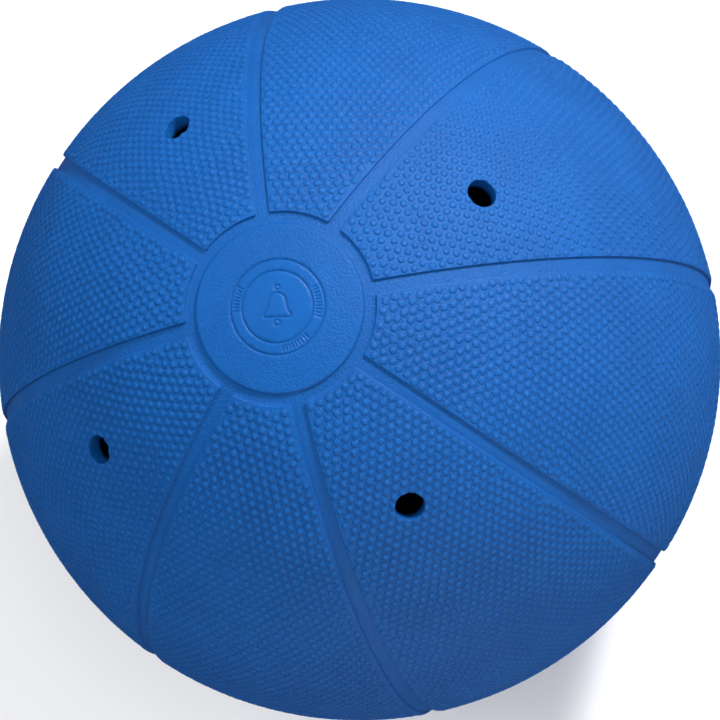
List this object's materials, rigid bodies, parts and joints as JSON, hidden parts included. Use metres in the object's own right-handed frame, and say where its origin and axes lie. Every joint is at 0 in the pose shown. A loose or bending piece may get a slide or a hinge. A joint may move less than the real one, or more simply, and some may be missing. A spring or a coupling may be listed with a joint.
{
  "type": "goalball",
  "caption": "Heavy hollow rubber bell ball with channels, a pebbled grip, a flat cap at each pole and open sound holes, with loose jingle bells inside.",
  "frame": {"origin": "the ball's centre", "axes": "+Z along the moulding axis through the two caps, +X through a channel; the equator seam lies in the XY plane"},
  "size_m": [0.242, 0.242, 0.2412],
  "materials": {
    "ball_rubber": "matte",
    "bell_steel": "satin",
    "loop_wire": "satin",
    "pellet_steel": "satin"
  },
  "bodies": {
    "ball": {"upper_shell": "ball_rubber", "lower_shell": "ball_rubber"},
    "bell_1": {"bell_1_crown": "bell_steel", "bell_1_cup": "bell_steel", "bell_1_loop": "loop_wire"},
    "bell_1_pellet": {"bell_1_pellet": "pellet_steel"},
    "bell_2": {"bell_2_crown": "bell_steel", "bell_2_cup": "bell_steel", "bell_2_loop": "loop_wire"},
    "bell_2_pellet": {"bell_2_pellet": "pellet_steel"},
    "bell_3": {"bell_3_crown": "bell_steel", "bell_3_cup": "bell_steel", "bell_3_loop": "loop_wire"},
    "bell_3_pellet": {"bell_3_pellet": "pellet_steel"}
  },
  "joints": [
    {"name": "bell_1_roll", "type": "hinge", "parent": "ball", "child": "bell_1", "pos_m": [0, 0, 0], "axis": [1, 0, 0], "range_deg": [0, 153.8]},
    {"name": "bell_1_rattle", "type": "slide", "parent": "bell_1", "child": "bell_1_pellet", "axis": [0, -0.226, 0.9741], "range_m": [0, 0.01852]},
    {"name": "bell_2_roll", "type": "hinge", "parent": "ball", "child": "bell_2", "pos_m": [0, 0, 0], "axis": [-0.5, 0.866, 0], "range_deg": [0, 153.8]},
    {"name": "bell_2_rattle", "type": "slide", "parent": "bell_2", "child": "bell_2_pellet", "axis": [0.1957, 0.113, 0.9741], "range_m": [0, 0.01852]},
    {"name": "bell_3_roll", "type": "hinge", "parent": "ball", "child": "bell_3", "pos_m": [0, 0, 0], "axis": [-0.5, -0.866, 0], "range_deg": [0, 153.8]},
    {"name": "bell_3_rattle", "type": "slide", "parent": "bell_3", "child": "bell_3_pellet", "axis": [-0.1957, 0.113, 0.9741], "range_m": [0, 0.01852]}
  ]
}
